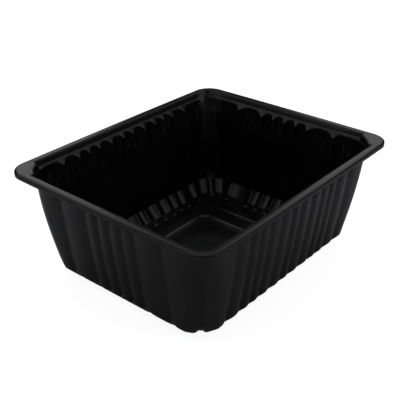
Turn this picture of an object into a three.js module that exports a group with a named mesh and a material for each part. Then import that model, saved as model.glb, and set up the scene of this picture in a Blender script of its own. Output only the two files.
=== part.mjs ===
// A deep sealable meal tray, formed from one sheet: a flat sealing flange with a turned-down lip,
// a step and a narrow shoulder inside it, four fluted walls, a sloping heel band at their foot,
// and a floor that is raised inside a flat ring, with a shallow dish in its middle.
// Millimetres, Z up. The tray stands on its floor at z = 0, with its long sides along X.

import * as THREE from 'three';

// Overall size, and the thickness of the sheet.
const trayLength = 190;
const trayWidth = 156;
const trayHeight = 73.3;
const sheet = 0.8;

// Flange. Its outer part is crowned and its edge turns down into a short lip.
const flangeWidth = 5.6;
const flangeRadius = 13;
const crownWidth = 2.8;
const crownDrop = 0.9;
const crownSteps = 3;
const lipDepth = 2.9;
const sideBow = 0.5;

// Step inside the flange. The shoulder below it is narrow at the ribs' crests and slopes further
// down and in at the valleys.
const stepDepth = 3.65;
const stepDraft = 1.1;
const stepRadius = 13.5;
const topInset = 7.4;
const topDepth = 4.7;
const topFlute = 3;
const topRadius = 14.3;
const topLandRadius = 21;

// Two opposite corners carry a land: the flange widens there almost to the wall. Its inner edge is
// an arc that ends in a jog at each side.
const landFrom = 24;
const landTo = 66;
const landInset = 8.6;
const landRadius = 17;
const landGap = 1.6;
const landJog = 0.4;
const landJogBelow = 1;
const landJogShare = 0.75;
const landUnderTrim = 2.5;

// Walls. They lean in and bulge a little, and their corners are tighter half way down. The insets
// are those of the ribs' crests, and the flare is how far down the deeper flutes at the top reach.
const wallInset = 8.34;
const wallDraft = 0.13;
const wallBulge = 0.5;
const wallRadius = 17;
const radiusEase = 1.8;
const fluteDepth = 1.8;
const flareDepth = 20;

// Ribs bulge outwards and meet in valleys, listed from the middle of each side. A power of 2 makes
// round ribs, and a higher one flatter crests. They fade over the corner panels, where two flats
// are turned from the diagonal by facetTurn degrees and are complete at this share of the wall.
const longValleys = [4.3, 15.7, 26.7, 35.4, 44.1, 57.7];
const shortValleys = [0, 9.45, 18.65, 40.25];
const ribPower = 2.5;
const cornerFade = 8;
const facetTurn = 20;
const facetStart = 0.4;

// Heel band between wall and floor. The ribs cross it, draw together a little and run out on the
// floor, and each corner has a short rib with a flat top across it.
const heelRise = 7.5;
const heelWidth = 7;
const heelRadius = 14.5;
const heelSqueeze = 0.96;
const footFlute = 1;
const runOut = 5.2;
const runOutSlope = 1.3;
const runOutSqueeze = 0.92;
const grooveDepth = 3.4;
const grooveTop = 0.6;
const grooveFoot = 0.18;
const grooveHalfWidth = 3.6;
const grooveFlat = 0.3;

// Floor. Rings from the flat one that it stands on to the dish: half sizes, corner radius, and
// height above the flat ring.
const floorRings = [
  { halfX: 61.5, halfY: 43, radius: 9, rise: 0 },
  { halfX: 58.5, halfY: 40, radius: 9, rise: 1.9 },
  { halfX: 49.9, halfY: 36.4, radius: 10, rise: 1.9 },
  { halfX: 48.9, halfY: 34.2, radius: 8, rise: 1.55 },
  { halfX: 37.4, halfY: 33.2, radius: 8, rise: 1.5 },
  { halfX: 35.6, halfY: 31.4, radius: 7, rise: 0.95 },
  { halfX: 32, halfY: 28, radius: 7, rise: 0.6 },
  { halfX: 20.6, halfY: 20, radius: 8, rise: 0.5 },
  { halfX: 12, halfY: 11.5, radius: 6, rise: 0 },
];

// Depths at which the walls are divided, then the segments in each rib, wide panel, straight run
// beside a corner, and corner arc.
const wallDepths = [11, 24, 60.5];
const ribSteps = 4;
const panelSteps = 5;
const wideRib = 12;
const runSteps = 3;
const flangeArcSteps = 6;
const floorArcSteps = 3;
const cornerAngles = [0, 11.5, 24, 33, 41, 45, 49, 57, 66, 78.5, 90];

const black = new THREE.MeshStandardMaterial({ color: 0x0f0f10, roughness: 0.42, metalness: 0 });

// How far a rib falls back from its crest: 0 at the crest, 1 at the valley.
function fallBack(offset, halfWidth) {
  return Math.abs(offset / halfWidth) ** ribPower;
}

// Stations along one side, from its middle to its last valley.
function sideStations(side, valleys) {
  const stations = [];
  const edges = valleys[0] === 0 ? valleys : [-valleys[0], ...valleys];
  for (let rib = 0; rib + 1 < edges.length; rib += 1) {
    const halfWidth = (edges[rib + 1] - edges[rib]) / 2;
    const middle = edges[rib] + halfWidth;
    const steps = 2 * halfWidth > wideRib ? panelSteps : ribSteps;
    for (let step = 0; step <= steps; step += 1) {
      const at = edges[rib] + (2 * halfWidth * step) / steps;
      const repeated = step === 0 && rib > 0;
      if (at >= -1e-9 && !repeated) {
        stations.push({ side, at, valley: fallBack(at - middle, halfWidth) });
      }
    }
  }
  return stations;
}

// Stations of one quarter of the fluted walls, from the short side's middle to the long side's.
function wallQuarter() {
  const stations = sideStations('short', shortValleys);
  for (let step = 1; step < runSteps; step += 1) {
    stations.push({ side: 'shortRun', part: step / runSteps });
  }
  for (const angle of cornerAngles) {
    stations.push({ side: 'arc', angle });
  }
  for (let step = 1; step < runSteps; step += 1) {
    stations.push({ side: 'longRun', part: step / runSteps });
  }
  return stations.concat(sideStations('long', longValleys).reverse());
}

// Repeats one quarter round the tray, and calls place with each station and its signs.
function roundTray(quarter, place) {
  const ring = [];
  for (const [signX, signY] of [[1, 1], [-1, 1], [-1, -1], [1, -1]]) {
    const ordered = signX * signY > 0 ? quarter : [...quarter].reverse();
    for (const station of ordered.slice(0, -1)) {
      ring.push(place(station, signX, signY));
    }
  }
  return ring;
}

// Length along the corner panel from a side's last valley to a station.
function fromLastValley(station, straight, radius, alongShort) {
  if (station.side !== 'arc') {
    return straight * (alongShort ? station.part : 1 - station.part);
  }
  const turned = alongShort ? station.angle : 90 - station.angle;
  return straight + radius * THREE.MathUtils.degToRad(turned);
}

// Fall-back of the corner panel, which rises from each last valley in half a rib.
function panelValley(station, straightX, straightY, radius) {
  const nearShort = station.side === 'shortRun' || (station.side === 'arc' && station.angle <= 45);
  const distance = fromLastValley(station, nearShort ? straightY : straightX, radius, nearShort);
  return distance < cornerFade ? fallBack(cornerFade - distance, cornerFade) : 0;
}

// Share of the corner rib's height at a station: flat in the middle, smooth on both flanks.
function grooveShare(station, radius) {
  if (station.side !== 'arc') {
    return 0;
  }
  const distance = radius * THREE.MathUtils.degToRad(Math.abs(station.angle - 45));
  const flank = (distance / grooveHalfWidth - grooveFlat) / (1 - grooveFlat);
  return 1 - THREE.MathUtils.smoothstep(flank, 0, 1);
}

// How far the two corner flats stand out of the corner's arc at a station.
function facetReach(station, radius) {
  if (station.side !== 'arc') {
    return 0;
  }
  const fromMiddle = THREE.MathUtils.degToRad(Math.abs(station.angle - 45));
  const flat = 1 / Math.cos(fromMiddle - THREE.MathUtils.degToRad(facetTurn));
  const side = 1 / Math.cos(Math.PI / 4 - fromMiddle);
  return radius * (Math.min(flat, side) - 1);
}

// The arc that a land's inner edge follows at a level, and where it meets the straight edges.
// The lower face's arc is trimmed at both ends, which leaves the sheet its thickness there.
function landArc(level) {
  const span = (landTo - landFrom) / 2;
  const trimmed = (degrees) => 45 + ((degrees - 45) * (span - level.trim)) / span;
  const radians = (degrees) => THREE.MathUtils.degToRad(trimmed(degrees));
  const radius = landRadius + level.gap;
  const centreX = trayLength / 2 - landInset - landRadius;
  const centreY = trayWidth / 2 - landInset - landRadius;
  return {
    at: (degrees) => [
      centreX + radius * Math.cos(radians(degrees)),
      centreY + radius * Math.sin(radians(degrees)),
    ],
    endX: centreX + radius * Math.cos(radians(landTo)) - level.jogBack,
    endY: centreY + radius * Math.sin(radians(landFrom)) - level.jogBack,
  };
}

// Where a corner panel's station lies on a level that follows a land.
function landPoint(station, level, halfX, halfY, lastX, lastY) {
  const arc = landArc(level);
  if (station.side === 'arc' && station.angle >= landFrom && station.angle <= landTo) {
    return arc.at(station.angle);
  }
  const onShort = station.side === 'shortRun' || station.angle < landFrom;
  let share = station.angle % 90 === 0 ? landJogShare : 1;
  if (station.side !== 'arc') {
    share = landJogShare * (onShort ? station.part : 1 - station.part);
  }
  return onShort
    ? [halfX, lastY + (arc.endY - lastY) * share]
    : [lastX + (arc.endX - lastX) * share, halfY];
}

// One ring of the fluted walls. The level gives its inset from the flange's edge, its depth below
// the flange's top, how close the ribs draw together, and how a valley and the corner groove shift
// it inwards and upwards.
function wallRing(level) {
  const { inset, depth, squeeze } = level;
  const halfX = trayLength / 2 - inset;
  const halfY = trayWidth / 2 - inset;
  const lastX = longValleys.at(-1) * squeeze;
  const lastY = shortValleys.at(-1) * squeeze;
  return roundTray(wallQuarter(), (station, signX, signY) => {
    const landCorner = signX * signY < 0;
    const radius = landCorner ? level.landRadius : level.radius;
    const runX = halfX - radius;
    const runY = halfY - radius;
    const angle = THREE.MathUtils.degToRad(station.angle ?? (station.side.startsWith('long') ? 90 : 0));
    let x = runX + radius * Math.cos(angle);
    let y = runY + radius * Math.sin(angle);
    if (station.side === 'long') {
      x = station.at * squeeze;
    } else if (station.side === 'longRun') {
      x = runX + (lastX - runX) * station.part;
    } else if (station.side === 'short') {
      y = station.at * squeeze;
    } else if (station.side === 'shortRun') {
      y = lastY + (runY - lastY) * station.part;
    }
    if (level.gap !== undefined && station.at === undefined && landCorner) {
      [x, y] = landPoint(station, level, halfX, halfY, lastX, lastY);
    }
    const valley = station.valley ?? panelValley(station, runX - lastX, runY - lastY, radius);
    const groove = level.groove * grooveShare(station, radius);
    const facet = level.facets * facetReach(station, radius);
    const inward = level.fluteIn * valley + level.grooveIn * groove - facet;
    const upward = level.fluteUp * valley + level.grooveUp * groove;
    x -= inward * Math.cos(angle);
    y -= inward * Math.sin(angle);
    return new THREE.Vector3(signX * x, signY * y, trayHeight - depth + upward);
  });
}

// Stations of one quarter of a plain rounded rectangle: a few on each side, then the corner arc.
function plainQuarter(arcSteps) {
  const stations = [{ side: 'short', part: 0 }, { side: 'short', part: 0.5 }];
  for (let step = 0; step <= arcSteps; step += 1) {
    stations.push({ side: 'arc', angle: (90 * step) / arcSteps });
  }
  stations.push({ side: 'long', part: 0.5 }, { side: 'long', part: 0 });
  return stations;
}

// A plain ring. A bow pulls its corners in and leaves the middle of each side where it is.
function plainRing(halfX, halfY, radius, height, arcSteps, bow) {
  const runX = halfX - radius;
  const runY = halfY - radius;
  return roundTray(plainQuarter(arcSteps), (station, signX, signY) => {
    const angle = THREE.MathUtils.degToRad(station.angle ?? (station.side === 'long' ? 90 : 0));
    const part = station.part ?? 1;
    const x = station.side === 'long' ? runX * part : runX + radius * Math.cos(angle);
    const y = station.side === 'short' ? runY * part : runY + radius * Math.sin(angle);
    const pullX = station.side === 'long' ? 0 : bow * part ** 2;
    const pullY = station.side === 'short' ? 0 : bow * part ** 2;
    return new THREE.Vector3(signX * (x - pullX), signY * (y - pullY), height);
  });
}

// A plain ring whose two land corners follow an arc round the wall's corner instead.
function landRing(level) {
  const { inset, depth, radius } = level;
  const halfX = trayLength / 2 - inset;
  const halfY = trayWidth / 2 - inset;
  const height = trayHeight - depth;
  const arc = landArc(level);
  const land = [[halfX, 0], [halfX, arc.endY / 2], [halfX, arc.endY]];
  for (let step = 0; step <= flangeArcSteps; step += 1) {
    land.push(arc.at(landFrom + ((landTo - landFrom) * step) / flangeArcSteps));
  }
  land.push([arc.endX, halfY], [arc.endX / 2, halfY], [0, halfY]);
  const plain = plainRing(halfX, halfY, radius, height, flangeArcSteps, 0);
  const plainCount = plain.length / 4;
  const ring = plain.slice(0, plainCount);
  ring.push(...landCorner(land, -1, 1, height));
  ring.push(...plain.slice(2 * plainCount, 3 * plainCount));
  ring.push(...landCorner(land, 1, -1, height));
  return ring;
}

// One land corner's points in ring order, without the last, which starts the next quarter.
function landCorner(land, signX, signY, height) {
  const ordered = [...land].reverse().slice(0, -1);
  return ordered.map(([x, y]) => new THREE.Vector3(signX * x, signY * y, height));
}

// Inset of the ribs' crests where the wall, if it were straight, would reach a depth.
function straightInset(depth) {
  return wallInset + (depth - topDepth) * wallDraft;
}

// The wall at a depth, between the shoulder and the heel.
function wallAt(depth, endDepth) {
  const share = (depth - topDepth) / (endDepth - topDepth);
  const belly = 4 * share * (1 - share);
  const flare = Math.max(0, 1 - (depth - topDepth) / (flareDepth - topDepth)) ** 2;
  const radius = wallRadius - radiusEase * belly;
  return {
    inset: straightInset(depth) - wallBulge * belly - flare * (wallInset - topInset),
    depth,
    radius: radius + flare * (topRadius - wallRadius),
    landRadius: radius + flare * (topLandRadius - wallRadius),
    squeeze: 1,
    fluteIn: fluteDepth + flare * (topFlute - fluteDepth),
    fluteUp: -topFlute * flare,
    facets: Math.min(1, share / facetStart),
    groove: 0,
    grooveIn: 0,
    grooveUp: 0,
  };
}

// The heel band's upper and lower edges, and where the ribs run out on the floor.
function heelLevels(endDepth) {
  const wallSlope = Math.atan2(1, wallDraft);
  const heelSlope = Math.atan2(heelRise, heelWidth);
  const middle = (wallSlope + heelSlope) / 2;
  const reach = fluteDepth / Math.cos((wallSlope - heelSlope) / 2);
  const top = {
    ...wallAt(endDepth, endDepth),
    fluteIn: reach * Math.sin(middle),
    fluteUp: reach * Math.cos(middle),
    groove: grooveDepth * grooveTop,
    grooveIn: Math.sin(middle),
    grooveUp: Math.cos(middle),
  };
  const foot = {
    ...top,
    inset: top.inset + heelWidth,
    depth: trayHeight - sheet,
    radius: heelRadius,
    landRadius: heelRadius,
    squeeze: heelSqueeze,
    fluteIn: fluteDepth - footFlute,
    fluteUp: footFlute,
    groove: grooveDepth,
    grooveIn: Math.sin(heelSlope),
    grooveUp: Math.cos(heelSlope),
  };
  const out = {
    ...foot,
    inset: foot.inset + runOut,
    radius: heelRadius - runOut,
    landRadius: heelRadius - runOut,
    squeeze: runOutSqueeze,
    fluteIn: 0,
    groove: grooveDepth * grooveFoot,
    grooveIn: 0,
  };
  const end = {
    ...out,
    inset: out.inset + runOutSlope,
    radius: out.radius - runOutSlope,
    landRadius: out.radius - runOutSlope,
    fluteUp: 0,
    groove: 0,
  };
  return [top, foot, out, end];
}

// The crown's levels, from the lip's bend to the flange's flat part.
function crownLevels() {
  const levels = [];
  for (let step = 0; step <= crownSteps; step += 1) {
    const angle = (Math.PI / 2) * (1 - step / crownSteps);
    const inset = crownWidth * (1 - Math.sin(angle));
    const depth = crownDrop * (1 - Math.cos(angle));
    levels.push({ inset, depth, radius: flangeRadius - inset, bow: sideBow });
  }
  return levels;
}

// The levels of the sheet's upper face, from the lip's lower edge to the flat ring of the floor.
function upperLevels() {
  const endDepth = trayHeight - sheet - heelRise;
  const innerRadius = flangeRadius - flangeWidth;
  return [
    { inset: 0, depth: lipDepth, radius: flangeRadius, bow: sideBow },
    ...crownLevels(),
    { inset: flangeWidth, depth: 0, radius: innerRadius, gap: landGap, jogBack: landJog, trim: 0 },
    {
      ...wallAt(topDepth, endDepth),
      inset: flangeWidth + stepDraft,
      depth: stepDepth,
      radius: stepRadius,
      fluteIn: 0,
      fluteUp: 0,
      gap: landGap / 2,
      jogBack: landJogBelow,
      trim: 0,
    },
    wallAt(topDepth, endDepth),
    ...wallDepths.map((depth) => wallAt(depth, endDepth)),
    ...heelLevels(endDepth),
  ];
}

// The same levels on the sheet's lower face: each is set back along the mitre of its two slopes.
function lowerLevels(levels) {
  const slopes = levels.slice(1).map((level, index) => {
    const before = levels[index];
    return new THREE.Vector2(level.inset - before.inset, before.depth - level.depth).normalize();
  });
  slopes.push(new THREE.Vector2(1, 0));
  return levels.map((level, index) => {
    const after = slopes[index];
    const before = slopes[Math.max(index - 1, 0)];
    const normal = new THREE.Vector2(before.y + after.y, -before.x - after.x);
    normal.multiplyScalar(sheet / (1 + before.dot(after)));
    return {
      ...level,
      inset: level.inset + normal.x,
      depth: level.depth - normal.y,
      radius: level.radius - normal.x,
      landRadius: level.landRadius === undefined ? undefined : level.landRadius - normal.x,
      gap: level.gap === undefined ? undefined : level.gap - normal.x,
      trim: landUnderTrim,
    };
  });
}

// Chooses the kind of ring that a level needs.
function ringAt(level) {
  if (level.fluteIn !== undefined) {
    return wallRing(level);
  }
  if (level.jogBack !== undefined) {
    return landRing(level);
  }
  const halfX = trayLength / 2 - level.inset;
  const halfY = trayWidth / 2 - level.inset;
  return plainRing(halfX, halfY, level.radius, trayHeight - level.depth, flangeArcSteps, level.bow ?? 0);
}

// The floor's rings, for a face at this height.
function innerRings(faceHeight) {
  return floorRings.map((ring) => (
    plainRing(ring.halfX, ring.halfY, ring.radius, faceHeight + ring.rise, floorArcSteps, 0)
  ));
}

// Angle of a point round the tray, from 0 to a full turn.
function turnOf(point) {
  const turn = Math.atan2(point.y, point.x);
  return turn < -1e-9 ? turn + 2 * Math.PI : turn;
}

// Joins two rings with triangles: station to station where both have the same stations, and
// otherwise taking the next point of whichever ring lags behind. Both faces of the sheet split
// their quads along the same diagonal, which is why it matters which ring leads.
function joinRings(outer, inner, outerStart, innerStart, outerLeads, faces) {
  const alike = outer.length === inner.length;
  let outerStep = 0;
  let innerStep = 0;
  while (outerStep < outer.length || innerStep < inner.length) {
    const outerNow = outerStart + (outerStep % outer.length);
    const innerNow = innerStart + (innerStep % inner.length);
    const outerNext = outerStep + 1 < outer.length ? turnOf(outer[outerStep + 1]) : 2 * Math.PI;
    const innerNext = innerStep + 1 < inner.length ? turnOf(inner[innerStep + 1]) : 2 * Math.PI;
    const outerDone = outerStep === outer.length;
    const pairedLag = outerLeads ? outerStep <= innerStep : outerStep < innerStep;
    const outerLags = alike ? pairedLag : outerNext <= innerNext;
    if (!outerDone && (innerStep === inner.length || outerLags)) {
      outerStep += 1;
      faces.push([outerNow, outerStart + (outerStep % outer.length), innerNow]);
    } else {
      innerStep += 1;
      faces.push([outerNow, innerStart + (innerStep % inner.length), innerNow]);
    }
  }
}

// Closes a flat ring with a fan from its centre.
function closeRing(start, count, centre, faces) {
  for (let step = 0; step < count; step += 1) {
    faces.push([start + step, start + ((step + 1) % count), centre]);
  }
}

// Builds the closed solid: lower face from the centre out, then the upper face back to the centre.
function trayGeometry() {
  const upper = upperLevels();
  const upperRings = upper.map(ringAt).concat(innerRings(sheet));
  const lowerRings = lowerLevels(upper).map(ringAt).concat(innerRings(0));
  const rings = [...lowerRings.reverse(), ...upperRings];
  const points = [];
  const starts = rings.map((ring) => {
    points.push(...ring);
    return points.length - ring.length;
  });
  const faces = [];
  for (let index = 0; index + 1 < rings.length; index += 1) {
    const upperFace = index >= lowerRings.length;
    joinRings(rings[index], rings[index + 1], starts[index], starts[index + 1], upperFace, faces);
  }
  const last = rings.length - 1;
  points.push(new THREE.Vector3(0, 0, rings[last][0].z));
  closeRing(starts[last], rings[last].length, points.length - 1, faces);
  points.push(new THREE.Vector3(0, 0, rings[0][0].z));
  const lowerFan = [];
  closeRing(starts[0], rings[0].length, points.length - 1, lowerFan);
  faces.push(...lowerFan.map((face) => [...face].reverse()));
  const geometry = new THREE.BufferGeometry();
  geometry.setFromPoints(points);
  geometry.setIndex(faces.flat());
  geometry.computeVertexNormals();
  return geometry;
}

const tray = new THREE.Mesh(trayGeometry(), black);
tray.name = 'tray';

const mealTray = new THREE.Group();
mealTray.add(tray);

export default mealTray;
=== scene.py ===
import math

import bpy
import numpy as np
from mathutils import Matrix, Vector


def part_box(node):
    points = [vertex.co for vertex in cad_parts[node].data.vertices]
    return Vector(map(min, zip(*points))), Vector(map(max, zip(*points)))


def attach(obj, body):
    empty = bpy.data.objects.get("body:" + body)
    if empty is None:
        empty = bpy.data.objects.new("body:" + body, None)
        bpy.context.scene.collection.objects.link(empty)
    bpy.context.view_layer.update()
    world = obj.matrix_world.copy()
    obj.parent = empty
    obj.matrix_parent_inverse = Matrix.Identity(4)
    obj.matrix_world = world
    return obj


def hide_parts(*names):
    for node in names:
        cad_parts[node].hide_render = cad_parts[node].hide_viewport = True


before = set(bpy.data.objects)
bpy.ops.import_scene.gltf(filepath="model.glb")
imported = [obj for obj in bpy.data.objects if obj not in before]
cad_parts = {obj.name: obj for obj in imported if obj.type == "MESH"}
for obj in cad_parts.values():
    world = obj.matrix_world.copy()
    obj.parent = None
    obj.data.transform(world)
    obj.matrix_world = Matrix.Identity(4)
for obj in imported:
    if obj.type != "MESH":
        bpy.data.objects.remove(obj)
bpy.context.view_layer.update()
trayLow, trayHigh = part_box("tray")
mm = 0.001
tiny = 1e-9                    # covers rounding
print("frame loaded, tray box", [round(side / mm, 2) for side in trayHigh - trayLow], "mm")


# the formed sheet
# Insets are measured in from the flange's outer edge and depths down from its top, in millimetres.

sheetForm = {
    "length": (trayHigh.x - trayLow.x) / mm,
    "width": (trayHigh.y - trayLow.y) / mm,
    "height": (trayHigh.z - trayLow.z) / mm,
    "thickness": 0.8,
    "cornerRadius": 13.0,      # flange's outer corners
    "sideBow": 0.5,            # how far the sides stand out of the line between their corners
    "crownWidth": 2.8,         # outer part of the flange, which curves over
    "crownDrop": 0.9,
    "lipDepth": 2.9,
    "lipRound": 0.12,          # how far the lip's edge bulges below its two faces
    "flangeWidth": 5.6,
    "flangeFillet": 1.1,
    "stepDepth": 3.65,
    "stepDraft": 1.1,
    "stepFillet": 1.9,
    "stepRadius": 13.5,
}

landForm = {
    "from": 24.0,              # part of the corner's quarter turn that it takes up, in degrees
    "to": 66.0,
    "jog": 10.0,               # how much of the turn the edge needs to come in to it
    "inset": 8.6,
    "radius": 17.0,
    "gap": 1.6,                # how far its edge falls back at the flange, and at the step's foot
    "stepGap": 0.8,
    "jogBack": 0.4,            # how far the jog overshoots, at the same two places
    "stepJogBack": 1.0,
    "points": 601,             # on its edge before it is smoothed, and how many are smoothed together
    "smoothing": 17,
}

wallForm = {
    "topInset": 7.4,           # crests of the ribs at the shoulder
    "topDepth": 4.7,
    "topFlute": 3.0,           # how far the valleys stand in from the crests there, and below them
    "topRadius": 14.3,
    "topLandRadius": 21.0,
    "topFillet": 0.7,
    "flareDepth": 20.0,        # the top's deeper flutes blend into the wall's by here
    "inset": 8.34,             # where the straight wall would meet the top
    "draft": 0.13,
    "bulge": 0.5,
    "radius": 17.0,
    "radiusEase": 1.8,
    "fluteDepth": 1.8,
    "ribPower": 2.5,           # 2 is a round rib, more is a flatter one with steeper flanks
    "topRibPower": 3.2,        # the same at the shoulder
    "topValleyReach": 0.5,     # how much more the valleys spread there, up to a flat bottom
    "valleyLimit": 0.95,
    "valleySharpness": 1.35,   # higher is sharper
    "longValleys": [4.3, 15.7, 26.7, 35.4, 44.1, 57.7],
    "shortValleys": [0.0, 9.45, 18.65, 40.25],
    "cornerFade": 5.5,
    "facetTurn": 20.0,         # degrees that each corner flat is turned from the diagonal
    "facetStart": 0.4,         # share of the wall's height above the finished flats
    "levels": 13,
    "levelCrowding": 1.3,      # more than 1 draws the levels together at the top
}

heelForm = {
    "rise": 7.5,               # the heel is a flat band at about 45 degrees, this high and wide
    "width": 7.0,
    "topFillet": 0.8,
    "footFillet": 0.8,
    "radius": 14.5,            # plan radius where the heel meets the floor
    "squeeze": 0.96,           # ribs draw together a little toward the middle of each side
    "footFlute": 1.0,          # height of the ribs where they run out on the floor
    "runOut": 5.2,             # how far they run in from the heel
    "runOutSlope": 1.3,
    "runOutFillet": 0.3,
    "runOutSqueeze": 0.92,
    "grooveDepth": 3.4,        # short rib across the heel at each corner
    "grooveTop": 0.6,          # shares of its height at the heel's upper edge and at its end
    "grooveFoot": 0.18,
    "grooveHalfWidth": 3.6,
    "grooveFlat": 0.3,
    "grooveFade": 3.0,         # how far it runs up the wall
}

floorForm = {
    "rings": [                 # half sizes, corner radius, height over the foot ring
        {"halfX": 61.5, "halfY": 43.0, "radius": 9.0, "rise": 0.0, "fillet": 2.0},
        {"halfX": 58.5, "halfY": 40.0, "radius": 9.0, "rise": 1.9, "fillet": 2.0},
        {"halfX": 50.4, "halfY": 39.3, "radius": 10.0, "rise": 1.9, "fillet": 0.7},
        {"halfX": 48.6, "halfY": 34.2, "radius": 8.0, "rise": 1.42, "fillet": 0.7},
        {"halfX": 37.4, "halfY": 33.2, "radius": 8.0, "rise": 1.42, "fillet": 0.8, "cut": 1.0},
        {"halfX": 35.6, "halfY": 31.4, "radius": 7.0, "rise": 0.95, "fillet": 3.0, "cut": 1.0},
        {"halfX": 32.0, "halfY": 28.0, "radius": 7.0, "rise": 0.6, "fillet": 3.0},
        {"halfX": 26.5, "halfY": 23.5, "radius": 7.0, "rise": 0.5, "fillet": 3.0},
        {"halfX": 20.6, "halfY": 20.0, "radius": 8.0, "rise": 0.5, "fillet": 1.0},
        {"halfX": 12.0, "halfY": 11.5, "radius": 6.0, "rise": 0.25, "fillet": 8.0},
    ],
    "sideShare": 0.8,          # share of each ring's straight side that the ribs' stations cover
    "innerShare": 0.3,         # size of the last ring inside the dish, as a share of the dish
}

# The valleys are softer on the sheet's lower face, by these shares at these depths.
outerSoftening = {"depths": [5.0, 11.0, 56.0, 64.0], "shares": [0, 1, 1, 0], "rounds": 5}

# These are numbers of steps, except wideFrom, the width from which a rib takes wideRib steps.
fineness = {
    "rib": 10, "wideRib": 16, "wideFrom": 12.0, "run": 6, "arc": 24,
    "crown": 8, "fillet": 5, "floorFillet": 3,
}

# A fillet reaches at least this far in millimetres, and at most this share of the next face.
filletLimits = {"least": 0.05, "most": 0.45}


def sideStops(valleys):
    # places along half a side, closer together at the valleys
    stops = []
    edges = valleys if valleys[0] == 0 else [-valleys[0], *valleys]
    for left, right in zip(edges, edges[1:]):
        half = (right - left) / 2
        steps = fineness["wideRib"] if 2 * half > fineness["wideFrom"] else fineness["rib"]
        for step in range(steps):
            place = left + half + half * math.sin(math.pi * (step / steps - 0.5))
            if place > -tiny:
                stops.append(place)
    return stops + [valleys[-1]]


def quarterStations():
    # one quarter of the way round, from the middle of the short side to the middle of the long one
    short = sideStops(wallForm["shortValleys"])
    long = sideStops(wallForm["longValleys"])
    runs = [step / fineness["run"] for step in range(1, fineness["run"])]
    arcs = [math.pi / 2 * step / fineness["arc"] for step in range(fineness["arc"] + 1)]
    sides = ["short"] * len(short) + ["shortRun"] * len(runs) + ["arc"] * len(arcs)
    sides += ["longRun"] * len(runs) + ["long"] * len(long)
    places = short + runs + arcs + runs[::-1] + long[::-1]
    turns = [0.0] * (len(short) + len(runs)) + arcs + [math.pi / 2] * (len(runs) + len(long))
    return np.array(sides), np.array(places), np.array(turns)


sides, places, turns = quarterStations()


def quarterOutline(inset, radius, squeeze=1.0, bow=0.0):
    # the rounded rectangle at an inset, and how far each station is along its side
    halfX = sheetForm["length"] / 2 - inset
    halfY = sheetForm["width"] / 2 - inset
    runX = halfX - radius
    runY = halfY - radius
    lastX = wallForm["longValleys"][-1] * squeeze
    lastY = wallForm["shortValleys"][-1] * squeeze
    x = runX + radius * np.cos(turns)
    y = runY + radius * np.sin(turns)
    x = np.where(sides == "long", places * squeeze, x)
    x = np.where(sides == "longRun", lastX + (runX - lastX) * places, x)
    y = np.where(sides == "short", places * squeeze, y)
    y = np.where(sides == "shortRun", lastY + (runY - lastY) * places, y)
    alongShort = np.where(sides == "arc", runY + radius * turns, y) - lastY
    alongLong = np.where(sides == "arc", runX + radius * (math.pi / 2 - turns), x) - lastX
    alongX = np.clip(x / runX, 0, 1)
    alongY = np.clip(y / runY, 0, 1)
    x = x - bow * alongY ** 2 * alongX
    y = y - bow * alongX ** 2 * alongY
    return x, y, alongShort, alongLong


def landOutline(level, inset):
    # the inner edge at a land: along the side, in at a jog, round the corner and out again
    halfX = sheetForm["length"] / 2 - inset
    halfY = sheetForm["width"] / 2 - inset
    centreX = sheetForm["length"] / 2 - landForm["inset"] - landForm["radius"]
    centreY = sheetForm["width"] / 2 - landForm["inset"] - landForm["radius"]
    radius = landForm["radius"] + level["gap"]
    start = math.radians(landForm["from"])
    stop = math.radians(landForm["to"])
    jog = math.radians(landForm["jog"])
    fine = np.linspace(-1, 2, landForm["points"])    # 0 to 1 is the corner, with a run on each side
    angle = np.clip(fine, 0, 1) * math.pi / 2
    x = centreX + radius * np.cos(angle)
    y = centreY + radius * np.sin(angle)
    lastX = wallForm["longValleys"][-1]
    lastY = wallForm["shortValleys"][-1]
    endX = centreX + radius * math.cos(stop) - level["jogBack"]
    endY = centreY + radius * math.sin(start) - level["jogBack"]
    knots = [-1, (start - jog) / (math.pi / 2), start / (math.pi / 2)]
    onShort = angle < start
    x = np.where(onShort, np.interp(fine, knots, [halfX, halfX, centreX + radius * math.cos(start)]), x)
    y = np.where(onShort, np.interp(fine, knots, [lastY, endY, centreY + radius * math.sin(start)]), y)
    knots = [stop / (math.pi / 2), (stop + jog) / (math.pi / 2), 2]
    onLong = angle > stop
    x = np.where(onLong, np.interp(fine, knots, [centreX + radius * math.cos(stop), endX, lastX]), x)
    y = np.where(onLong, np.interp(fine, knots, [centreY + radius * math.sin(stop), halfY, halfY]), y)
    kernel = np.hanning(landForm["smoothing"])
    kernel /= kernel.sum()
    pad = len(kernel) // 2
    smoothX = np.convolve(np.pad(x, pad, mode="edge"), kernel, mode="valid")
    smoothY = np.convolve(np.pad(y, pad, mode="edge"), kernel, mode="valid")
    where = np.where(sides == "arc", turns / (math.pi / 2), 0.0)
    where = np.where(sides == "shortRun", places - 1, where)
    where = np.where(sides == "longRun", 2 - places, where)
    plainX, plainY, _, _ = quarterOutline(inset, level["radius"])
    inPanel = (sides != "short") & (sides != "long")
    landX = np.where(inPanel, np.interp(where, fine, smoothX), plainX)
    landY = np.where(inPanel, np.interp(where, fine, smoothY), plainY)
    return landX, landY


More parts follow.
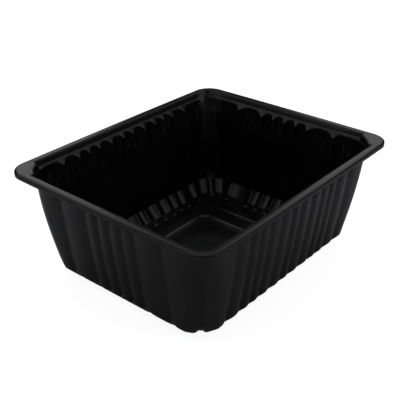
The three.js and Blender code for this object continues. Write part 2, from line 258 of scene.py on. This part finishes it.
def ribHeight(along, valleys, power):
    # Ribs are arches that meet in valleys: 0 on a crest, minus the flute depth in a valley.
    # An arch no longer counts at two half widths from its middle.
    depth = wallForm["fluteDepth"]
    sharp = wallForm["valleySharpness"]
    edges = sorted({-valley for valley in valleys[:2]} | set(valleys))
    arches = [((left + right) / 2, (right - left) / 2) for left, right in zip(edges, edges[1:])]
    total = np.zeros_like(along)
    for middle, half in arches:
        offset = np.minimum(np.abs(along - middle) / half, 2)
        total += np.exp(-sharp * depth * offset ** power)
    offset = np.clip((valleys[-1] - along) / wallForm["cornerFade"] + 1, 0, 2)
    total += np.exp(-sharp * depth * offset ** power)
    return np.minimum(np.log(total) / sharp, 0)


def flutes(alongShort, alongLong, power):
    # how far each station falls back from the crests
    short = ribHeight(np.where(sides == "short", places, alongShort + wallForm["shortValleys"][-1]),
                      wallForm["shortValleys"], power)
    long = ribHeight(np.where(sides == "long", places, alongLong + wallForm["longValleys"][-1]),
                     wallForm["longValleys"], power)
    nearShort = turns < math.pi / 4
    return -np.where(nearShort, short, long)


def cornerGroove(radius):
    # a short narrow rib with a flat top, which is a groove on the outside, at the corner's middle
    flat = heelForm["grooveFlat"]
    distance = radius * np.abs(turns - math.pi / 4) / heelForm["grooveHalfWidth"]
    share = 1 - np.clip((distance - flat) / (1 - flat), 0, 1)
    return np.where(sides == "arc", share ** 2 * (3 - 2 * share), 0)


def cornerFacets(radius):
    # two flats take the place of the corner's arc, one on each side of the groove
    fromMiddle = np.abs(turns - math.pi / 4)
    flat = 1 / np.cos(fromMiddle - math.radians(wallForm["facetTurn"]))
    side = 1 / np.cos(math.pi / 4 - fromMiddle)
    return np.where(sides == "arc", radius * (np.minimum(flat, side) - 1), 0)


def fluted(level, radius):
    # One quarter of a level of the wall or heel, with its flutes and the short rib at its corner.
    # A valley stands in by fluteIn and up by fluteUp; the short rib's height is groove, and
    # grooveIn and grooveUp are its direction.
    squeeze = level.get("squeeze", 1.0)
    x, y, alongShort, alongLong = quarterOutline(level["inset"], radius, squeeze, level.get("bow", 0.0))
    z = np.full(len(x), sheetForm["height"] - level["depth"])
    if "fluteIn" in level:
        fallBack = flutes(alongShort / squeeze, alongLong / squeeze, level["ribPower"])
        fallBack = np.minimum(fallBack / wallForm["fluteDepth"] * level["spread"], wallForm["valleyLimit"])
        groove = cornerGroove(radius) * level["groove"]
        inward = fallBack * level["fluteIn"] + groove * level["grooveIn"]
        inward = inward - cornerFacets(radius) * level["facets"]
        x = x - inward * np.cos(turns)
        y = y - inward * np.sin(turns)
        z = z + fallBack * level["fluteUp"] + groove * level["grooveUp"]
    return x, y, z


def ringOf(level):
    # the ring of points that the sheet's upper face has at a level
    x, y, z = fluted(level, level["radius"])
    landX, landY, landZ = fluted(level, level.get("landRadius", level["radius"]))
    if "gap" in level:
        landX, landY = landOutline(level, level["inset"])
    ring = []
    for signX, signY in ((1, 1), (-1, 1), (-1, -1), (1, -1)):
        quarter = np.column_stack((signX * x, signY * y, z))
        if signX * signY < 0:
            quarter = np.column_stack((signX * landX, signY * landY, landZ))[::-1]
        ring.append(quarter[:-1])
    return np.vstack(ring)


def plainRing(halfX, halfY, radius, height, cut=0.0):
    # a rounded rectangle on the floor, its stations spread evenly along each side
    lastX = wallForm["longValleys"][-1]
    lastY = wallForm["shortValleys"][-1]
    share = floorForm["sideShare"]
    fromMiddle = np.abs(turns - math.pi / 4)
    octagon = 1 / np.cos(np.minimum(fromMiddle, math.pi / 4 - fromMiddle))
    reach = radius * (1 + cut * (octagon - 1))
    x = halfX - radius + reach * np.cos(turns)
    y = halfY - radius + reach * np.sin(turns)
    runX = halfX - radius
    runY = halfY - radius
    x = np.where(sides == "long", places / lastX * runX * share, x)
    x = np.where(sides == "longRun", runX * (share + (1 - share) * places), x)
    y = np.where(sides == "short", places / lastY * runY * share, y)
    y = np.where(sides == "shortRun", runY * (share + (1 - share) * places), y)
    ring = []
    for signX, signY in ((1, 1), (-1, 1), (-1, -1), (1, -1)):
        quarter = np.column_stack((signX * x, signY * y, np.full(len(x), height)))
        ring.append(quarter[::signX * signY][:-1])
    return np.vstack(ring)


def flangeLevels():
    # lip, crown and flat top of the flange, then the step, each with its fillet
    form = sheetForm
    levels = [{"inset": 0.0, "depth": form["lipDepth"], "fillet": 0.0}]
    for step in range(fineness["crown"]):
        angle = math.pi / 2 * (1 - step / (fineness["crown"] - 1))
        levels.append({
            "inset": form["crownWidth"] * (1 - math.sin(angle)),
            "depth": form["crownDrop"] * (1 - math.cos(angle)),
            "fillet": 0.0,
        })
    for level in levels:
        level["radius"] = form["cornerRadius"] - level["inset"]
        level["bow"] = form["sideBow"]
    levels.append({
        "inset": form["flangeWidth"], "depth": 0.0, "radius": form["cornerRadius"] - form["flangeWidth"],
        "gap": landForm["gap"], "jogBack": landForm["jogBack"], "fillet": form["flangeFillet"],
    })
    levels.append({
        "inset": form["flangeWidth"] + form["stepDraft"], "depth": form["stepDepth"],
        "radius": form["stepRadius"], "gap": landForm["stepGap"], "jogBack": landForm["stepJogBack"],
        "fillet": form["stepFillet"],
    })
    return levels


def straightInset(depth):
    return wallForm["inset"] + (depth - wallForm["topDepth"]) * wallForm["draft"]


def wallAt(depth, endDepth):
    # the wall at a depth, between the shoulder and the heel
    form = wallForm
    share = (depth - form["topDepth"]) / (endDepth - form["topDepth"])
    belly = 4 * share * (1 - share)
    flare = max(0.0, 1 - (depth - form["topDepth"]) / (form["flareDepth"] - form["topDepth"])) ** 2
    radius = form["radius"] - form["radiusEase"] * belly
    return {
        "inset": straightInset(depth) - form["bulge"] * belly - flare * (form["inset"] - form["topInset"]),
        "depth": depth,
        "radius": radius + flare * (form["topRadius"] - form["radius"]),
        "landRadius": radius + flare * (form["topLandRadius"] - form["radius"]),
        "fluteIn": form["fluteDepth"] + flare * (form["topFlute"] - form["fluteDepth"]),
        "fluteUp": -form["topFlute"] * flare,
        "ribPower": form["ribPower"] + flare * (form["topRibPower"] - form["ribPower"]),
        "spread": 1 + flare * form["topValleyReach"],
        "facets": min(1.0, share / form["facetStart"]),
        "groove": 0.0, "grooveIn": 0.0, "grooveUp": 0.0,
        "fillet": 0.0,
    }


def wallLevels(endDepth):
    # the shoulder's end, then the wall down to the heel, closer together at the top
    form = wallForm
    levels = []
    for step in range(form["levels"]):
        share = (step / form["levels"]) ** form["levelCrowding"]
        levels.append(wallAt(form["topDepth"] + (endDepth - form["topDepth"]) * share, endDepth))
    levels.append(wallAt(endDepth - heelForm["grooveFade"], endDepth))
    levels[0]["fillet"] = form["topFillet"]
    return levels


def heelLevels(endDepth):
    # a sloping band joins the wall to the floor, and the flutes run over it and out on the floor
    form = heelForm
    wallSlope = math.atan(1 / wallForm["draft"])
    heelSlope = math.atan(form["rise"] / form["width"])
    middle = (wallSlope + heelSlope) / 2
    reach = wallForm["fluteDepth"] / math.cos((wallSlope - heelSlope) / 2)
    top = {
        **wallAt(endDepth, endDepth),
        "fluteIn": reach * math.sin(middle), "fluteUp": reach * math.cos(middle),
        "groove": form["grooveDepth"] * form["grooveTop"],
        "grooveIn": math.sin(middle), "grooveUp": math.cos(middle),
        "fillet": form["topFillet"],
    }
    foot = {
        **top,
        "inset": top["inset"] + form["width"], "depth": sheetForm["height"] - sheetForm["thickness"],
        "radius": form["radius"], "landRadius": form["radius"], "squeeze": form["squeeze"],
        "fluteIn": wallForm["fluteDepth"] - form["footFlute"], "fluteUp": form["footFlute"],
        "groove": form["grooveDepth"], "grooveIn": math.sin(heelSlope), "grooveUp": math.cos(heelSlope),
        "fillet": form["footFillet"],
    }
    out = {
        **foot,
        "inset": foot["inset"] + form["runOut"], "radius": form["radius"] - form["runOut"],
        "landRadius": form["radius"] - form["runOut"], "squeeze": form["runOutSqueeze"],
        "fluteIn": 0.0, "groove": form["grooveDepth"] * form["grooveFoot"], "grooveIn": 0.0,
        "fillet": form["runOutFillet"],
    }
    end = {
        **out,
        "inset": out["inset"] + form["runOutSlope"], "radius": out["radius"] - form["runOutSlope"],
        "landRadius": out["radius"] - form["runOutSlope"], "fluteUp": 0.0, "groove": 0.0,
    }
    return [top, foot, out, end]


def floorRings():
    # the raised floor, its shallow steps and the dish in the middle
    foot = sheetForm["thickness"]
    rings = []
    for ring in floorForm["rings"]:
        height = foot + ring["rise"]
        outline = plainRing(ring["halfX"], ring["halfY"], ring["radius"], height, ring.get("cut", 0.0))
        rings.append((outline, ring["fillet"], fineness["floorFillet"]))
    return rings


def rounded(rings):
    # turns each ring that has a fillet into several, along a curve between its two neighbours
    surface = [rings[0][0]]
    for (before, _, _), (corner, fillet, steps), (after, _, _) in zip(rings, rings[1:], rings[2:]):
        if fillet == 0:
            surface.append(corner)
            continue
        back = before - corner
        on = after - corner
        backLength = np.linalg.norm(back, axis=1, keepdims=True)
        onLength = np.linalg.norm(on, axis=1, keepdims=True)
        cosine = np.clip((back * on).sum(axis=1, keepdims=True) / (backLength * onLength), -1, 1)
        half = np.arccos(cosine) / 2
        most = filletLimits["most"] * np.minimum(backLength, onLength)
        reach = np.clip(fillet / np.tan(half), filletLimits["least"], most)
        start = corner + back / backLength * reach
        stop = corner + on / onLength * reach
        for step in range(steps):
            t = step / (steps - 1)
            pull = 2 * t * (1 - t) * np.sin(half)
            total = (1 - t) ** 2 + pull + t ** 2
            surface.append(((1 - t) ** 2 * start + pull * corner + t ** 2 * stop) / total)
    surface.append(rings[-1][0])
    return np.array(surface)


def upperFace():
    endDepth = sheetForm["height"] - sheetForm["thickness"] - heelForm["rise"]
    levels = flangeLevels() + wallLevels(endDepth) + heelLevels(endDepth)
    rings = [(ringOf(level), level["fillet"], fineness["fillet"]) for level in levels] + floorRings()
    inner = rings[-1][0] * np.array([floorForm["innerShare"], floorForm["innerShare"], 1.0])
    return rounded(rings + [(inner, 0.0, 1)])


def lowerFace(upper, thickness):
    # the other face of the sheet, set back along the surface's own direction, with softer valleys
    along = np.roll(upper, -1, axis=1) - np.roll(upper, 1, axis=1)
    across = np.gradient(upper, axis=0)
    normal = np.cross(along, across)
    normal /= np.linalg.norm(normal, axis=2, keepdims=True)
    lower = upper - normal * thickness
    depths = sheetForm["height"] - lower[:, :, 2:]
    share = np.interp(depths, outerSoftening["depths"], outerSoftening["shares"])
    for _ in range(outerSoftening["rounds"]):
        blurred = (np.roll(lower, 1, axis=1) + 2 * lower + np.roll(lower, -1, axis=1)) / 4
        lower = lower + (blurred - lower) * share
    return lower


def bandFaces(first, second, count, flip):
    # one face for each step between two rings, given the number of each ring's first point
    faces = []
    for step in range(count):
        onward = (step + 1) % count
        face = (first + step, first + onward, second + onward, second + step)
        faces.append(face[::-1] if flip else face)
    return faces


def buildTray():
    upper = upperFace()
    lower = lowerFace(upper, sheetForm["thickness"])
    levelCount, count, _ = upper.shape
    lipEdge = (upper[0] + lower[0]) / 2 - np.array([0, 0, sheetForm["lipRound"]])
    points = np.vstack((upper.reshape(-1, 3), lower.reshape(-1, 3), lipEdge,
                        [[0, 0, upper[-1, 0, 2]]], [[0, 0, lower[-1, 0, 2]]]))
    lowerStart = levelCount * count
    lipStart = 2 * levelCount * count
    upperCentre = lipStart + count
    faces = []
    for level in range(levelCount - 1):
        faces += bandFaces(level * count, (level + 1) * count, count, False)
        faces += bandFaces(lowerStart + level * count, lowerStart + (level + 1) * count, count, True)
    faces += bandFaces(lipStart, 0, count, False)
    faces += bandFaces(lipStart, lowerStart, count, True)
    last = (levelCount - 1) * count
    for step in range(count):
        onward = (step + 1) % count
        faces.append((last + step, last + onward, upperCentre))
        faces.append((lowerStart + last + onward, lowerStart + last + step, upperCentre + 1))
    mesh = bpy.data.meshes.new("mealTray")
    mesh.from_pydata((points * mm + np.array([0, 0, trayLow.z])).tolist(), [], faces)
    mesh.validate()
    mesh.shade_smooth()
    tray = bpy.data.objects.new("mealTray", mesh)
    bpy.context.scene.collection.objects.link(tray)
    return tray


tray = buildTray()
print("tray formed,", len(tray.data.polygons), "faces")


# black formed plastic

blackPlastic = {
    "colour": (0.005, 0.005, 0.0055),
    "paler": (0.007, 0.007, 0.0075),
    "roughness": (0.2, 0.25),
    "specular": 0.5,
    "cloudScale": 38.0,
    "cloudDetail": 4.0,
    "paintedReflection": (0.06, 0.06, 0.064),     # painted reflections inside, as pale lines in the corners, and painted highlights high on the ribs
    "cornerMarks": 6,
    "cornerMiddle": 0.017,             # how much longer X is than Y at a corner's middle
    "cornerReach": (0.038, 0.066),     # lowest and highest part of the marks
    "cornerSoftness": 0.004,
    "cornerPitch": (0.0021, 0.0017),   # distance between marks at those heights
    "outerMarkSoftness": 0.1,          # in marks
    "ribStreakScale": (600.0, 600.0, 14.0),
    "ribStreakDetail": 1.0,
    "ribStreakFrom": 0.52,             # a higher value leaves fewer and thinner lines
    "ribStreakGain": 6.0,
    "ribReach": (0.050, 0.068),
    "ribSoftness": 0.006,
    "ribShare": 0.45,
    "edgeRounding": 0.2,               # how softly each mark's ends set in
    "middle": (0.011, 0.0125, 0.0135), # painted pool of light, a paler patch in the middle of the floor
    "middleReach": 0.024,
    "middleSoftness": 0.006,
    "grainScale": 1400.0,
    "grainDetail": 3.0,
    "grainHeight": 0.00002,
    "grainStrength": 0.5,
}


def mathNode(nodes, links, operation, *values):
    # each value is a number or the output of another node
    node = nodes.new("ShaderNodeMath")
    node.operation = operation
    for socket, value in zip(node.inputs, values):
        if isinstance(value, (int, float)):
            socket.default_value = value
        else:
            links.new(value, socket)
    return node.outputs[0]


def paintedReflectionMask(nodes, links, place):
    # where reflections and highlights are painted as pale lines, on the inner face only
    form = blackPlastic
    rounding = form["edgeRounding"]

    def calc(operation, *values):
        return mathNode(nodes, links, operation, *values)

    def between(value, low, high, soft):
        # 1 from low to high, and 0 outside, with soft edges inside that range
        fromLow = calc("MULTIPLY", calc("SUBTRACT", value, low), 1 / soft)
        fromHigh = calc("MULTIPLY", calc("SUBTRACT", high, value), 1 / soft)
        risen = calc("SMOOTH_MIN", fromLow, 1.0, rounding)
        fallen = calc("SMOOTH_MIN", fromHigh, 1.0, rounding)
        return calc("MULTIPLY", calc("MAXIMUM", risen, 0.0), calc("MAXIMUM", fallen, 0.0))

    apart = nodes.new("ShaderNodeSeparateXYZ")
    links.new(place.outputs["Object"], apart.inputs[0])
    x, y, z = apart.outputs
    geometry = nodes.new("ShaderNodeNewGeometry")
    facing = nodes.new("ShaderNodeSeparateXYZ")
    links.new(geometry.outputs["Normal"], facing.inputs[0])
    outward = calc("ADD", calc("MULTIPLY", x, facing.outputs[0]), calc("MULTIPLY", y, facing.outputs[1]))
    inside = calc("LESS_THAN", outward, 0.0)

    # painted reflections of the ribs, as pale lines up each inner corner
    pitch = nodes.new("ShaderNodeMapRange")
    links.new(z, pitch.inputs["Value"])
    pitch.inputs["From Min"].default_value, pitch.inputs["From Max"].default_value = form["cornerReach"]
    pitch.inputs["To Min"].default_value, pitch.inputs["To Max"].default_value = form["cornerPitch"]
    longer = calc("SUBTRACT", calc("ABSOLUTE", x), calc("ABSOLUTE", y))
    sideways = calc("MULTIPLY", calc("SUBTRACT", longer, form["cornerMiddle"]), math.sqrt(0.5))
    order = calc("DIVIDE", sideways, pitch.outputs["Result"])
    waves = calc("MAXIMUM", calc("COSINE", calc("MULTIPLY", calc("ADD", order, 0.5), 2 * math.pi)), 0.0)
    half = form["cornerMarks"] / 2
    corner = calc("MULTIPLY", waves, between(order, -half, half, form["outerMarkSoftness"]))
    corner = calc("MULTIPLY", corner, between(z, *form["cornerReach"], form["cornerSoftness"]))

    # painted highlights, as thin pale lines high on the ribs
    streakScaling = nodes.new("ShaderNodeMapping")
    streakScaling.inputs["Scale"].default_value = form["ribStreakScale"]
    links.new(place.outputs["Object"], streakScaling.inputs["Vector"])
    noise = nodes.new("ShaderNodeTexNoise")
    noise.inputs["Scale"].default_value = 1.0
    noise.inputs["Detail"].default_value = form["ribStreakDetail"]
    links.new(streakScaling.outputs["Vector"], noise.inputs["Vector"])
    peaks = calc("MAXIMUM", calc("SUBTRACT", noise.outputs["Fac"], form["ribStreakFrom"]), 0.0)
    lines = calc("MULTIPLY", calc("MULTIPLY", peaks, form["ribStreakGain"]), form["ribShare"])
    ribs = calc("MULTIPLY", lines, between(z, *form["ribReach"], form["ribSoftness"]))
    return calc("MULTIPLY", inside, calc("MINIMUM", calc("ADD", corner, ribs), 1.0))


def paintedMiddleLightMask(nodes, links, place):
    # where a pool of light is painted on the floor's middle
    flat = nodes.new("ShaderNodeVectorMath")
    flat.operation = "MULTIPLY"
    flat.inputs[1].default_value = (1, 1, 0)
    links.new(place.outputs["Object"], flat.inputs[0])
    away = nodes.new("ShaderNodeVectorMath")
    away.operation = "LENGTH"
    links.new(flat.outputs["Vector"], away.inputs[0])
    fade = nodes.new("ShaderNodeMapRange")
    fade.interpolation_type = "SMOOTHSTEP"
    fade.inputs["From Min"].default_value = blackPlastic["middleReach"] + blackPlastic["middleSoftness"]
    fade.inputs["From Max"].default_value = blackPlastic["middleReach"] - blackPlastic["middleSoftness"]
    links.new(away.outputs["Value"], fade.inputs["Value"])
    return fade.outputs["Result"]


def plasticMaterial():
    material = bpy.data.materials.new("blackPlastic")
    material.use_nodes = True
    nodes = material.node_tree.nodes
    links = material.node_tree.links
    shader = nodes["Principled BSDF"]
    shader.inputs["Specular IOR Level"].default_value = blackPlastic["specular"]
    place = nodes.new("ShaderNodeTexCoord")
    cloud = nodes.new("ShaderNodeTexNoise")
    cloud.inputs["Scale"].default_value = blackPlastic["cloudScale"]
    cloud.inputs["Detail"].default_value = blackPlastic["cloudDetail"]
    links.new(place.outputs["Object"], cloud.inputs["Vector"])
    tint = nodes.new("ShaderNodeMix")
    tint.data_type = "RGBA"
    tint.inputs["A"].default_value = (*blackPlastic["colour"], 1)
    tint.inputs["B"].default_value = (*blackPlastic["paler"], 1)
    links.new(cloud.outputs["Fac"], tint.inputs["Factor"])
    colour = tint.outputs["Result"]
    # painted light: a pool of light on the floor's middle, then reflections and highlights on the inner
    # walls
    for mask, part in ((paintedMiddleLightMask, "middle"), (paintedReflectionMask, "paintedReflection")):
        marked = nodes.new("ShaderNodeMix")
        marked.data_type = "RGBA"
        links.new(mask(nodes, links, place), marked.inputs["Factor"])
        links.new(colour, marked.inputs["A"])
        marked.inputs["B"].default_value = (*blackPlastic[part], 1)
        colour = marked.outputs["Result"]
    links.new(colour, shader.inputs["Base Color"])
    gloss = nodes.new("ShaderNodeMapRange")
    gloss.inputs["To Min"].default_value, gloss.inputs["To Max"].default_value = blackPlastic["roughness"]
    links.new(cloud.outputs["Fac"], gloss.inputs["Value"])
    links.new(gloss.outputs["Result"], shader.inputs["Roughness"])
    grain = nodes.new("ShaderNodeTexNoise")
    grain.inputs["Scale"].default_value = blackPlastic["grainScale"]
    grain.inputs["Detail"].default_value = blackPlastic["grainDetail"]
    links.new(place.outputs["Object"], grain.inputs["Vector"])
    bump = nodes.new("ShaderNodeBump")
    bump.inputs["Distance"].default_value = blackPlastic["grainHeight"]
    bump.inputs["Strength"].default_value = blackPlastic["grainStrength"]
    links.new(grain.outputs["Fac"], bump.inputs["Height"])
    links.new(bump.outputs["Normal"], shader.inputs["Normal"])
    return material


tray.data.materials.append(plasticMaterial())
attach(tray, "root")
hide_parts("tray")
print("plastic finish set")


# floor, light and camera

studio = {
    "floorSize": 8.0,
    "floorGap": 0.0002,        # how far the floor is below the tray's foot
    "floorColour": (0.80, 0.81, 0.85),
    "floorRoughness": 0.9,
    "floorGlow": 0.9,          # keeps the floor pale beside a dark tray
    "world": 0.05,
    "backdrop": 1.0,           # what shows beyond the floor
    "lightDistance": 1.4,
}

camera = {
    "azimuth": 219.87,         # degrees from +X to the camera, seen from above
    "elevation": 28.73,
    "distance": 0.46284,
    "lens": 67.15,
    "sensor": 36.0,
    "clipStart": 0.01,
    "aimRight": -0.0042,       # from the middle of the flange's top, across the view and up it
    "aimUp": -0.02913,
}

# Azimuths are in degrees from straight behind the tray, as the camera sees it, plus to the left.
# Sizes are in metres, each light faces the tray, and its radiance is how bright its surface is.
softLights = {
    "backLeft": {"azimuth": 20, "elevation": 27, "width": 0.44, "height": 0.42, "radiance": 0.88},
    "backRight": {"azimuth": -20, "elevation": 27, "width": 0.44, "height": 0.42, "radiance": 0.72},
    "highLeft": {"azimuth": 30, "elevation": 44, "width": 0.72, "height": 0.42, "radiance": 0.50},
    "highRight": {"azimuth": -30, "elevation": 44, "width": 0.72, "height": 0.42, "radiance": 0.50},
    "highMiddle": {"azimuth": 0, "elevation": 50, "width": 0.36, "height": 0.66, "radiance": 0.19},
    "overMiddle": {"azimuth": -10, "elevation": 68, "width": 0.80, "height": 0.40, "radiance": 0.45},
    "sideLeft": {"azimuth": 90, "elevation": 36, "width": 0.80, "height": 0.85, "radiance": 0.42},
    "sideRight": {"azimuth": -88, "elevation": 36, "width": 0.66, "height": 0.85, "radiance": 0.40},
    "frontLeft": {"azimuth": 120, "elevation": 27, "width": 0.44, "height": 0.42, "radiance": 0.95},
    "frontRight": {"azimuth": -120, "elevation": 27, "width": 0.44, "height": 0.42, "radiance": 1.90},
    "overLeft": {"azimuth": 105, "elevation": 60, "width": 0.90, "height": 0.50, "radiance": 0.20},
    "overRight": {"azimuth": -105, "elevation": 60, "width": 0.80, "height": 0.50, "radiance": 0.28},
    "top": {"azimuth": 90, "elevation": 80, "width": 0.90, "height": 0.80, "radiance": 0.22},
}


def makeFloor():
    half = studio["floorSize"] / 2
    z = trayLow.z - studio["floorGap"]
    mesh = bpy.data.meshes.new("floor")
    mesh.from_pydata([(-half, -half, z), (half, -half, z), (half, half, z), (-half, half, z)],
                     [], [(0, 1, 2, 3)])
    floor = bpy.data.objects.new("floor", mesh)
    bpy.context.scene.collection.objects.link(floor)
    material = bpy.data.materials.new("paleFloor")
    material.use_nodes = True
    nodes = material.node_tree.nodes
    links = material.node_tree.links
    shader = nodes["Principled BSDF"]
    shader.inputs["Base Color"].default_value = (*studio["floorColour"], 1)
    shader.inputs["Roughness"].default_value = studio["floorRoughness"]
    shader.inputs["Specular IOR Level"].default_value = 0.0
    glow = nodes.new("ShaderNodeEmission")
    glow.inputs["Strength"].default_value = studio["floorGlow"]
    path = nodes.new("ShaderNodeLightPath")
    dark = nodes.new("ShaderNodeEmission")
    dark.inputs["Strength"].default_value = 0.0
    seen = nodes.new("ShaderNodeMixShader")
    links.new(path.outputs["Is Camera Ray"], seen.inputs["Fac"])
    links.new(dark.outputs["Emission"], seen.inputs[1])
    links.new(glow.outputs["Emission"], seen.inputs[2])
    both = nodes.new("ShaderNodeAddShader")
    links.new(shader.outputs["BSDF"], both.inputs[0])
    links.new(seen.outputs["Shader"], both.inputs[1])
    links.new(both.outputs["Shader"], nodes["Material Output"].inputs["Surface"])
    floor.data.materials.append(material)


def directionAt(azimuth, elevation):
    # the way out from the tray, both angles in degrees
    turn = math.radians(azimuth)
    lift = math.radians(elevation)
    return Vector((math.cos(lift) * math.cos(turn), math.cos(lift) * math.sin(turn), math.sin(lift)))


def makeLight(name, form):
    outward = directionAt(camera["azimuth"] - 180 + form["azimuth"], form["elevation"])
    light = bpy.data.lights.new(name, "AREA")
    light.shape = "RECTANGLE"
    light.size = form["width"]
    light.size_y = form["height"]
    light.energy = form["radiance"] * math.pi * form["width"] * form["height"]
    lamp = bpy.data.objects.new(name, light)
    lamp.location = outward * studio["lightDistance"]
    lamp.rotation_euler = outward.to_track_quat("Z", "Y").to_euler()
    bpy.context.scene.collection.objects.link(lamp)


def makeCamera():
    back = directionAt(camera["azimuth"], camera["elevation"])
    turn = (-back).to_track_quat("-Z", "Y")
    aim = Vector((0, 0, trayHigh.z)) + turn @ Vector((camera["aimRight"], camera["aimUp"], 0))
    data = bpy.data.cameras.new("camera")
    data.lens = camera["lens"]
    data.sensor_width = camera["sensor"]
    data.clip_start = camera["clipStart"]
    cam = bpy.data.objects.new("camera", data)
    cam.location = aim + back * camera["distance"]
    cam.rotation_euler = turn.to_euler()
    bpy.context.scene.collection.objects.link(cam)
    bpy.context.scene.camera = cam


def makeWorld():
    world = bpy.data.worlds.new("softRoom")
    bpy.context.scene.world = world
    world.use_nodes = True
    nodes = world.node_tree.nodes
    links = world.node_tree.links
    light = nodes["Background"]
    light.inputs["Color"].default_value = (1, 1, 1, 1)
    light.inputs["Strength"].default_value = studio["world"]
    backdrop = nodes.new("ShaderNodeBackground")
    backdrop.inputs["Color"].default_value = (1, 1, 1, 1)
    backdrop.inputs["Strength"].default_value = studio["backdrop"]
    path = nodes.new("ShaderNodeLightPath")
    seen = nodes.new("ShaderNodeMixShader")
    links.new(path.outputs["Is Camera Ray"], seen.inputs["Fac"])
    links.new(light.outputs["Background"], seen.inputs[1])
    links.new(backdrop.outputs["Background"], seen.inputs[2])
    links.new(seen.outputs["Shader"], nodes["World Output"].inputs["Surface"])


makeFloor()
makeWorld()
makeCamera()
for name, form in softLights.items():
    makeLight(name, form)
bpy.context.scene.view_settings.view_transform = "Standard"
print("floor, light and camera set")
